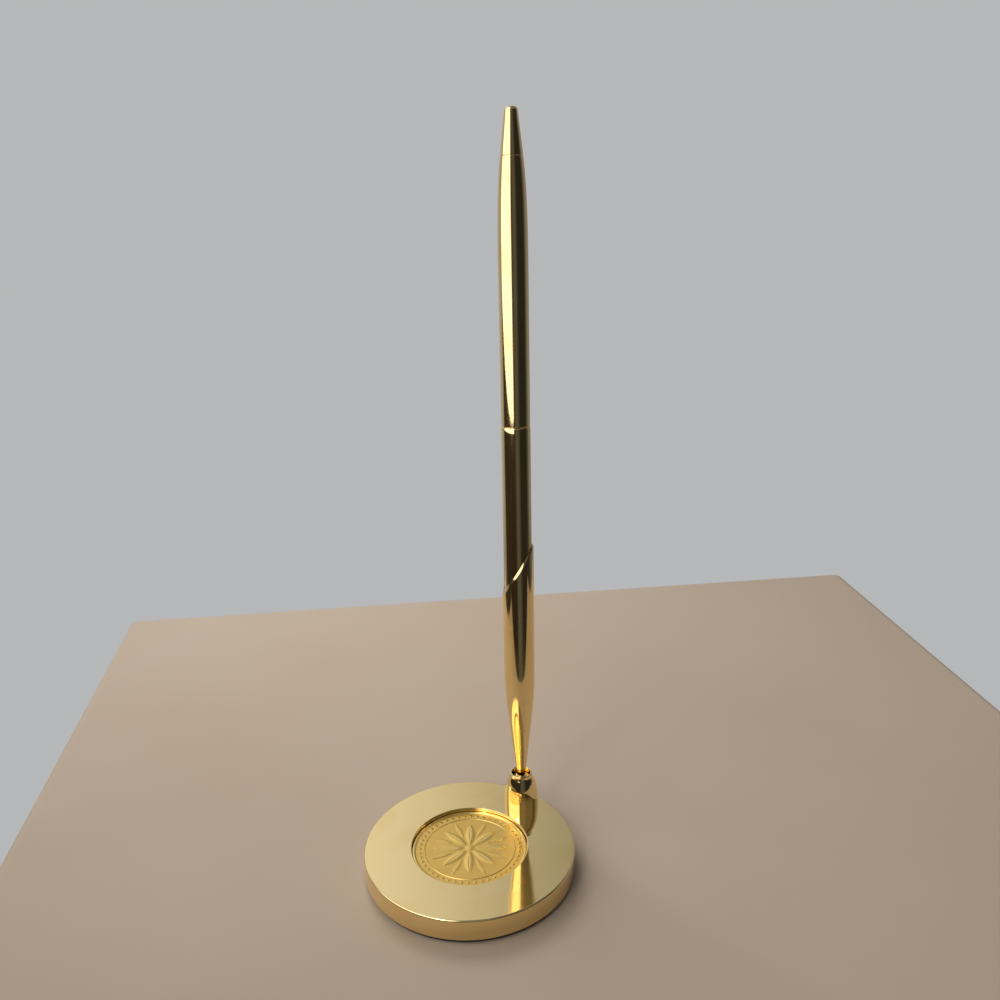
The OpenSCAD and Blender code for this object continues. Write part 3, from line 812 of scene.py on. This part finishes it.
# %% The polish marks: smudges, hairlines and specks
SMUDGE_NOISE = {"Detail": 5, "Roughness": 0.6, "Distortion": 0.8}
SMUDGE_RANGE = {"From Min": 0.45, "From Max": 0.75}
HAIRLINE_NOISE = {"Detail": 3, "Roughness": 0.7}
HAIRLINE_RANGE = {"From Min": 0.55, "From Max": 0.78}
SPECK_RANGE = {"From Min": 0.05, "From Max": 0.12, "To Min": 1, "To Max": 0}
SPECK_SCALE = 900
SPECK_HEIGHT = 1.5
SPECK_DULLING = 0.12
HAIRLINE_DULLING = 0.05

polish, given, result = new_group(
    "polish_marks",
    [("Place", VECTOR), ("Grain", VECTOR), ("Smudge scale", FLOAT), ("Hairline scale", FLOAT),
     ("Clean roughness", FLOAT), ("Dull roughness", FLOAT)],
    [("Roughness", FLOAT), ("Height", FLOAT), ("Smudge", FLOAT)],
)
sockets = given.outputs
cloud = add(polish, "ShaderNodeTexNoise", {"Vector": sockets["Place"], "Scale": sockets["Smudge scale"],
                                           **SMUDGE_NOISE})
smudge = add(polish, "ShaderNodeMapRange", {"Value": cloud.outputs[0], **SMUDGE_RANGE},
             interpolation_type="SMOOTHSTEP")
line = add(polish, "ShaderNodeTexNoise", {"Vector": sockets["Grain"], "Scale": sockets["Hairline scale"],
                                          **HAIRLINE_NOISE})
hairline = add(polish, "ShaderNodeMapRange", {"Value": line.outputs[0], **HAIRLINE_RANGE})
dot = add(polish, "ShaderNodeTexVoronoi", {"Vector": sockets["Place"], "Scale": SPECK_SCALE}, feature="F1")
speck = add(polish, "ShaderNodeMapRange", {"Value": dot.outputs["Distance"], **SPECK_RANGE})
dulling = add(polish, "ShaderNodeMapRange", {"Value": smudge.outputs["Result"],
                                             "To Min": sockets["Clean roughness"],
                                             "To Max": sockets["Dull roughness"]})
lined = add(polish, "ShaderNodeMath", {0: hairline.outputs["Result"], 1: HAIRLINE_DULLING,
                                       2: dulling.outputs["Result"]}, operation="MULTIPLY_ADD")
specked = add(polish, "ShaderNodeMath", {0: speck.outputs["Result"], 1: SPECK_DULLING,
                                         2: lined.outputs[0]}, operation="MULTIPLY_ADD")
height = add(polish, "ShaderNodeMath", {0: speck.outputs["Result"], 1: SPECK_HEIGHT,
                                        2: hairline.outputs["Result"]}, operation="MULTIPLY_ADD")
polish.links.new(specked.outputs[0], result.inputs["Roughness"])
polish.links.new(height.outputs[0], result.inputs["Height"])
polish.links.new(smudge.outputs["Result"], result.inputs["Smudge"])
print("polish marks:", len(polish.nodes), "nodes")

# %% [markdown]
# The grain is for surfaces that were never polished: a fine noise for the tooth, and a slow one that lets it
# grow and fade, as blasting, moulding and pressing do.

# %% The grain: a fine even tooth with slow cloudy change
TOOTH_NOISE = {"Detail": 4, "Roughness": 0.65}
CLOUD_NOISE = {"Detail": 3, "Roughness": 0.5}
CLOUD_RANGE = {"From Min": 0.35, "From Max": 0.65}
TOOTH_FULL = 0.7

grain, given, result = new_group(
    "fine_grain",
    [("Place", VECTOR), ("Tooth scale", FLOAT), ("Cloud scale", FLOAT),
     ("Low roughness", FLOAT), ("High roughness", FLOAT)],
    [("Roughness", FLOAT), ("Height", FLOAT), ("Cloud", FLOAT)],
)
sockets = given.outputs
tooth = add(grain, "ShaderNodeTexNoise", {"Vector": sockets["Place"], "Scale": sockets["Tooth scale"],
                                          **TOOTH_NOISE})
slow = add(grain, "ShaderNodeTexNoise", {"Vector": sockets["Place"], "Scale": sockets["Cloud scale"],
                                         **CLOUD_NOISE})
spread = add(grain, "ShaderNodeMapRange", {"Value": slow.outputs[0], **CLOUD_RANGE})
mixed = add(grain, "ShaderNodeMath", {0: tooth.outputs[0], 1: spread.outputs["Result"]}, operation="MULTIPLY")
tooth_rough = add(grain, "ShaderNodeMapRange", {"Value": mixed.outputs[0], "From Max": TOOTH_FULL,
                                                "To Min": sockets["Low roughness"],
                                                "To Max": sockets["High roughness"]})
grain.links.new(tooth_rough.outputs["Result"], result.inputs["Roughness"])
grain.links.new(tooth.outputs[0], result.inputs["Height"])
grain.links.new(spread.outputs["Result"], result.inputs["Cloud"])
print("fine grain:", len(grain.nodes), "nodes")

# %% [markdown]
# Every finish starts and ends alike. It reads the place on the piece, and in the end it mixes two tones by a
# mask and feeds the Principled shader with them, a roughness and a bump. Each piece wears one finish.

# %% The start and the end of a finish
def new_material(name):
    """An empty material. Returns it, its tree, and the socket that gives the place on the piece."""
    material = bpy.data.materials.new(name)
    material.use_nodes = True
    tree = material.node_tree
    return material, tree, add(tree, "ShaderNodeTexCoord").outputs["Object"]


def feed_shader(tree, tones, mask, roughness, height, bump, depth, metallic):
    """Feeds a material's Principled shader with two tones that a mask mixes, a roughness and a bump."""
    shader = tree.nodes["Principled BSDF"]
    tone = add(tree, "ShaderNodeMix", {"Factor": mask, "A": (*tones[0], 1), "B": (*tones[1], 1)},
               data_type="RGBA")
    relief = add(tree, "ShaderNodeBump", {"Height": height, "Strength": bump, "Distance": depth})
    tree.links.new(tone.outputs["Result"], shader.inputs["Base Color"])
    tree.links.new(roughness, shader.inputs["Roughness"])
    tree.links.new(relief.outputs["Normal"], shader.inputs["Normal"])
    shader.inputs["Metallic"].default_value = metallic


def wear(piece, material):
    """Gives a piece its only material."""
    piece.data.materials.clear()
    piece.data.materials.append(material)


print("node groups to use:", ", ".join(g.name for g in bpy.data.node_groups))

# %% [markdown]
# The gold is a pale one: its red is strong and its blue weak, but less so than in pure gold. Smudged patches
# are a touch warmer. The hairlines follow the piece: on the pen and the sheath they run lengthwise, so the
# grain's coordinates are squeezed along that axis, and on the base they run across the top in one direction.

# %% Polished gold
GOLD_CLEAN = (0.92, 0.71, 0.35)
GOLD_SMUDGED = (0.88, 0.65, 0.29)
POLISH_BUMP = 0.12
POLISH_DEPTH = 0.001 * MM


def polished_gold(name, centre, stretch, smudge_scale, hairline_scale, clean, dull):
    """Polished gold whose hairlines are drawn out along the axis with the smallest stretch."""
    material, tree, spot = new_material(name)
    place = add(tree, "ShaderNodeMapping", {"Vector": spot, "Location": -Vector(centre)})
    drawn = add(tree, "ShaderNodeMapping", {"Vector": place.outputs["Vector"], "Scale": stretch})
    marks = add(tree, "ShaderNodeGroup",
                {"Place": place.outputs["Vector"], "Grain": drawn.outputs["Vector"],
                 "Smudge scale": smudge_scale, "Hairline scale": hairline_scale,
                 "Clean roughness": clean, "Dull roughness": dull}, node_tree=polish).outputs
    feed_shader(tree, (GOLD_CLEAN, GOLD_SMUDGED), marks["Smudge"], marks["Roughness"], marks["Height"],
                POLISH_BUMP, POLISH_DEPTH, metallic=1)
    return material


base_gold = polished_gold("base_gold", (0, 0, 0), stretch=(1, 0.05, 1), smudge_scale=45,
                          hairline_scale=2600, clean=0.05, dull=0.12)
bell_gold = polished_gold("bell_gold", ball_centre, stretch=(1, 1, 3), smudge_scale=150,
                          hairline_scale=1500, clean=0.04, dull=0.09)
pen_gold = polished_gold("pen_gold", ball_centre, stretch=(1, 1, 0.03), smudge_scale=110,
                         hairline_scale=3200, clean=0.07, dull=0.14)
for piece, material in ((base, base_gold), (bell, bell_gold), (ball, bell_gold), (sheath, pen_gold),
                        (nose, pen_gold), (lower, pen_gold), (upper, pen_gold), (end_piece, pen_gold)):
    wear(piece, material)
print("gold on", sum(m.users for m in (base_gold, bell_gold, pen_gold)), "pieces")

# %% [markdown]
# The struck disc is satin: its field scatters the light, while the tops of the rim, the beads and the petals
# have been touched and shine a little more. Height tells the two apart, so the finish reads the Z coordinate.

# %% Satin gold for the struck disc
SATIN_FIELD = (0.92, 0.60, 0.16)
SATIN_TOP = (0.99, 0.74, 0.25)
SATIN_GRAIN = {"Tooth scale": 6500, "Cloud scale": 160, "Low roughness": 0.26, "High roughness": 0.42}
SATIN_TOUCH = -0.10
SATIN_BUMP = 0.35
SATIN_DEPTH = 0.01 * MM


def satin_gold(name):
    """Struck gold: a toothed field, with raised tops that are brighter and smoother."""
    material, tree, spot = new_material(name)
    split = add(tree, "ShaderNodeSeparateXYZ", {"Vector": spot})
    raised = add(tree, "ShaderNodeMapRange",
                 {"Value": split.outputs["Z"], "From Min": field_z, "From Max": medal_top},
                 interpolation_type="SMOOTHSTEP").outputs["Result"]
    tooth = add(tree, "ShaderNodeGroup", {"Place": spot, **SATIN_GRAIN}, node_tree=grain).outputs
    touched = add(tree, "ShaderNodeMath", {0: raised, 1: SATIN_TOUCH, 2: tooth["Roughness"]},
                  operation="MULTIPLY_ADD")
    feed_shader(tree, (SATIN_FIELD, SATIN_TOP), raised, touched.outputs[0], tooth["Height"],
                SATIN_BUMP, SATIN_DEPTH, metallic=1)
    return material


wear(medallion, satin_gold("struck_gold"))
print("satin gold on", medallion.name)

# %% [markdown]
# The rest is plain stock: pressed felt, moulded nylon, turned steel and bare brass. They differ only in their
# two tones, their roughness and their grain, so one function makes them all.

# %% Plain stock finishes
STOCK_BUMP = 0.4


def stock(name, light, dark, metallic, scales, roughness, depth):
    """A plain finish of two tones. Scales are the grain's tooth and cloud, roughness its low and high."""
    material, tree, spot = new_material(name)
    tooth = add(tree, "ShaderNodeGroup",
                {"Place": spot, "Tooth scale": scales[0], "Cloud scale": scales[1],
                 "Low roughness": roughness[0], "High roughness": roughness[1]}, node_tree=grain).outputs
    feed_shader(tree, (light, dark), tooth["Cloud"], tooth["Roughness"], tooth["Height"],
                STOCK_BUMP, depth, metallic)
    return material


FELT_SHEEN = 0.4
pressed_felt = stock("pressed_felt", (0.022, 0.021, 0.020), (0.010, 0.010, 0.010), metallic=0,
                     scales=(3500, 300), roughness=(0.85, 1), depth=0.15 * MM)
pressed_felt.node_tree.nodes["Principled BSDF"].inputs["Sheen Weight"].default_value = FELT_SHEEN
white_nylon = stock("white_nylon", (0.78, 0.76, 0.69), (0.70, 0.68, 0.61), metallic=0,
                    scales=(4000, 200), roughness=(0.35, 0.55), depth=0.01 * MM)
black_nylon = stock("black_nylon", (0.020, 0.020, 0.021), (0.012, 0.012, 0.012), metallic=0,
                    scales=(4000, 200), roughness=(0.35, 0.6), depth=0.01 * MM)
turned_steel = stock("turned_steel", (0.60, 0.60, 0.58), (0.48, 0.48, 0.47), metallic=1,
                     scales=(5000, 250), roughness=(0.18, 0.34), depth=0.003 * MM)
hard_steel = stock("hard_steel", (0.40, 0.40, 0.42), (0.30, 0.30, 0.32), metallic=1,
                   scales=(5000, 250), roughness=(0.15, 0.30), depth=0.003 * MM)
bare_brass = stock("bare_brass", (0.78, 0.60, 0.28), (0.64, 0.46, 0.19), metallic=1,
                   scales=(4500, 220), roughness=(0.22, 0.38), depth=0.004 * MM)
print("materials so far:", len(bpy.data.materials))

# %% [markdown]
# The pieces inside the pen and the socket keep their CAD shapes and get these finishes too, because they show
# when the pen is taken apart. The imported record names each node's slot, so the finish is looked up by it.

# %% Finishes for the felt, the refill and the inner pieces
wear(felt, pressed_felt)
wear(point, turned_steel)
wear(writing, hard_steel)
STOCK = {"white_nylon": white_nylon, "black_nylon": black_nylon, "steel": turned_steel,
         "spring_steel": hard_steel, "bare_brass": bare_brass}
slot_of = {part["node"]: part["material_slot"] for part in frame["record"]["subparts"]}
inner = [name for name, node in frame["nodes"].items() if not node.hide_render]
for name in inner:
    wear(frame["nodes"][name], STOCK[slot_of[name]])
print("inner pieces:", ", ".join(sorted(inner)))

# %% [markdown]
# ## Stage and light
# Polished metal shows nothing but its surroundings, so the light is built like a room. The floor is a pale
# panel of the size of a tray: what lies beyond its edges is dark in the metal, as in the photograph. The room
# is painted by direction. To the left of the camera is a soft window that draws the long bright stripe down
# the pen. A dark card stands under it, in front of the floor: the lower on the pen one looks, the more of the
# window it hides, so the stripe runs out to a point. Behind the object stands a grey screen, and above it a
# sheet that grows brighter towards the left, and the base's flat top mirrors both. The room behind the camera
# is dark but for one dim band, which gives the pen its dark side. The camera itself sees only a plain grey
# backdrop.

# %% The floor panel
FLOOR_SIZE = (0.36, 0.275, 0.02)
FLOOR_MIDDLE = (0.027, 0.064, -0.01)
FLOOR_TURN = math.radians(-7)
FLOOR_ROUND = 0.004
FLOOR_ROUND_STEPS = 4
bpy.ops.object.select_all(action="DESELECT")
bpy.ops.mesh.primitive_cube_add(size=1)
floor = bpy.context.object
floor.name = "floor"
bpy.ops.object.mode_set(mode="EDIT")
bpy.ops.transform.resize(value=FLOOR_SIZE)
bpy.ops.transform.rotate(value=FLOOR_TURN, orient_axis="Z", center_override=(0, 0, 0))
bpy.ops.transform.translate(value=FLOOR_MIDDLE)
bpy.ops.mesh.bevel(offset=FLOOR_ROUND, segments=FLOOR_ROUND_STEPS)
bpy.ops.object.mode_set(mode="OBJECT")
bpy.ops.object.shade_smooth_by_angle(angle=SMOOTH_ANGLE)
wear(floor, stock("pale_floor", (0.46, 0.36, 0.265), (0.44, 0.34, 0.25), metallic=0,
                  scales=(900, 9), roughness=(0.55, 0.7), depth=0.02 * MM))
print("floor:", FLOOR_SIZE[0], "by", FLOOR_SIZE[1], "m")

# %% [markdown]
# The card is one upright sheet, extruded from a line at its foot. The camera doesn't see it, only the metal
# does. A real object that stands near the pen gives the stripe its pointed end, which a painted room, being
# endlessly far away, could not.

# %% The dark card under the window
CARD_AWAY = 0.22
CARD_BEARING = math.radians(28)
CARD_LENGTH = (0.07, 0.9)
CARD_TOP = 0.08
CARD_LOW = -0.25
toward = Vector((-math.sin(CARD_BEARING), -math.cos(CARD_BEARING), 0))
along = Vector((-math.cos(CARD_BEARING), math.sin(CARD_BEARING), 0))
card_foot = Vector((ball_centre.x, ball_centre.y, 0)) + CARD_AWAY * toward
near_end = card_foot - CARD_LENGTH[0] * along
far_end = card_foot + CARD_LENGTH[1] * along
card = draw_points("card", [near_end + Vector((0, 0, CARD_LOW)), far_end + Vector((0, 0, CARD_LOW))])
bpy.ops.mesh.select_all(action="SELECT")
bpy.ops.mesh.extrude_region_move(TRANSFORM_OT_translate={"value": (0, 0, CARD_TOP - CARD_LOW)})
stand_upright(card)
card.visible_camera = False
wear(card, stock("dark_card", (0.075, 0.052, 0.038), (0.055, 0.038, 0.028), metallic=0,
                 scales=(900, 9), roughness=(0.8, 0.95), depth=0.02 * MM))
print("card:", round(sum(CARD_LENGTH), 2), "m long")

# %% [markdown]
# The room is a world shader in which the direction of a ray decides how bright it is. Soft fades cut the
# directions into a screen, a sheet, a ceiling and a window. Each fade has two limits: shares of a direction's
# way to the right, to the back or upwards, or bearings from the camera's side, which grow towards the left.

# %% The levels and limits of the room
BACKDROP = 0.48
DARK = 0.022
DIM = 0.07
CEILING = 0.15
SHADY_SCREEN = 0.22
BRIGHT_SCREEN = 0.4
SHADY_SHEET = 0.31
BRIGHT_SHEET = 0.84
WINDOW = 1.75
ROOM_TINT = (0.98, 0.99, 1, 1)

BEHIND_LIMITS = (-0.15, 0.7)
SHEET_LIMITS = (0.12, -0.18)
SCREEN_LIMITS = (0.3, -0.3)
SCREEN_TOP = (0.05, 0.4)
SCREEN_FOOT = (-0.5, -0.3)
DIM_RIGHT = (math.radians(-37), math.radians(-12))
DIM_LEFT = (math.radians(13), math.radians(-2))
CEILING_BACK = (0.1, -0.2)
CEILING_LOW = (0.25, 0.6)
WINDOW_RIGHT = (math.radians(11), math.radians(21))
WINDOW_LEFT = (math.radians(108), math.radians(92))
WINDOW_SILL = (-0.42, -0.32)
WINDOW_TOP = (0.99, 0.93)
print("the window is", round(WINDOW / BRIGHT_SHEET, 1), "times as bright as the sheet")

# %% The directions in the room
scene = bpy.context.scene
scene.view_settings.view_transform = "Standard"
room = bpy.data.worlds.new("room")
scene.world = room
room.use_nodes = True
tree = room.node_tree


def fade(value, limits, low=0.0, high=1.0):
    """A soft change from low to high as a value goes from the first limit to the second."""
    made = add(tree, "ShaderNodeMapRange", {"Value": value, "From Min": limits[0], "From Max": limits[1],
                                            "To Min": low, "To Max": high}, interpolation_type="SMOOTHSTEP")
    return made.outputs["Result"]


def math_node(operation, *values):
    """One step of arithmetic on sockets or numbers."""
    return add(tree, "ShaderNodeMath", dict(enumerate(values)), operation=operation).outputs[0]


way = add(tree, "ShaderNodeTexCoord")
split = add(tree, "ShaderNodeSeparateXYZ", {"Vector": way.outputs["Generated"]})
right, back, up = (split.outputs[k] for k in "XYZ")
bearing = math_node("ARCTAN2", math_node("MULTIPLY", right, -1.0), math_node("MULTIPLY", back, -1.0))
print("room:", len(tree.nodes), "nodes give the directions")

# %% The brightness in each direction
sheet = fade(right, SHEET_LIMITS, SHADY_SHEET, BRIGHT_SHEET)
screen = fade(right, SCREEN_LIMITS, SHADY_SCREEN, BRIGHT_SCREEN)
stacked = add(tree, "ShaderNodeMix", {"Factor": fade(up, SCREEN_TOP), "A": screen, "B": sheet},
              data_type="FLOAT")
behind = math_node("MULTIPLY", fade(back, BEHIND_LIMITS), fade(up, SCREEN_FOOT))
behind_level = math_node("MULTIPLY_ADD", stacked.outputs["Result"], behind, DARK)
dim_band = math_node("MULTIPLY", fade(bearing, DIM_RIGHT), fade(bearing, DIM_LEFT))
front_level = math_node("MULTIPLY_ADD", dim_band, DIM, behind_level)
ceiling = math_node("MULTIPLY", fade(back, CEILING_BACK), fade(up, CEILING_LOW))
room_level = math_node("MULTIPLY_ADD", ceiling, CEILING, front_level)
sides = math_node("MULTIPLY", fade(bearing, WINDOW_RIGHT), fade(bearing, WINDOW_LEFT))
ends = math_node("MULTIPLY", fade(up, WINDOW_SILL), fade(up, WINDOW_TOP))
level = math_node("MULTIPLY_ADD", math_node("MULTIPLY", sides, ends), WINDOW, room_level)

path = add(tree, "ShaderNodeLightPath")
shown = add(tree, "ShaderNodeMix", {"Factor": path.outputs["Is Camera Ray"], "A": level, "B": BACKDROP},
            data_type="FLOAT")
tree.links.new(shown.outputs["Result"], tree.nodes["Background"].inputs["Strength"])
tree.nodes["Background"].inputs["Color"].default_value = ROOM_TINT
print("room:", len(tree.nodes), "nodes in all")

# %% [markdown]
# Two lamps finish the light. A broad one hangs over the back of the floor and lights it evenly. It is hidden
# from reflections, as a lamp behind a flag is. A small one in front is left in them, and puts the sparks on
# the ball socket, the rims and the pen's tip.

# %% The two lamps
BROAD_PLACE = (-0.15, 0.35, 0.45)
BROAD_TARGET = (0.02, 0.18, 0)
BROAD_SIZE = 0.25
BROAD_WATTS = 1.3
SPARK_PLACE = (-0.28, -0.45, 0.55)
SPARK_SIZE = 0.10
SPARK_WATTS = 0.4


def soft_light(name, place, target, size, watts):
    """A soft square light that faces a target."""
    bpy.ops.object.select_all(action="DESELECT")
    bpy.ops.object.light_add(type="AREA", location=place)
    light = bpy.context.object
    light.name = name
    light.rotation_euler = (Vector(target) - Vector(place)).to_track_quat("-Z", "Y").to_euler()
    light.data.size = size
    light.data.energy = watts
    return light


broad = soft_light("broad", BROAD_PLACE, BROAD_TARGET, BROAD_SIZE, BROAD_WATTS)
broad.visible_glossy = False
soft_light("spark", SPARK_PLACE, ball_centre, SPARK_SIZE, SPARK_WATTS)
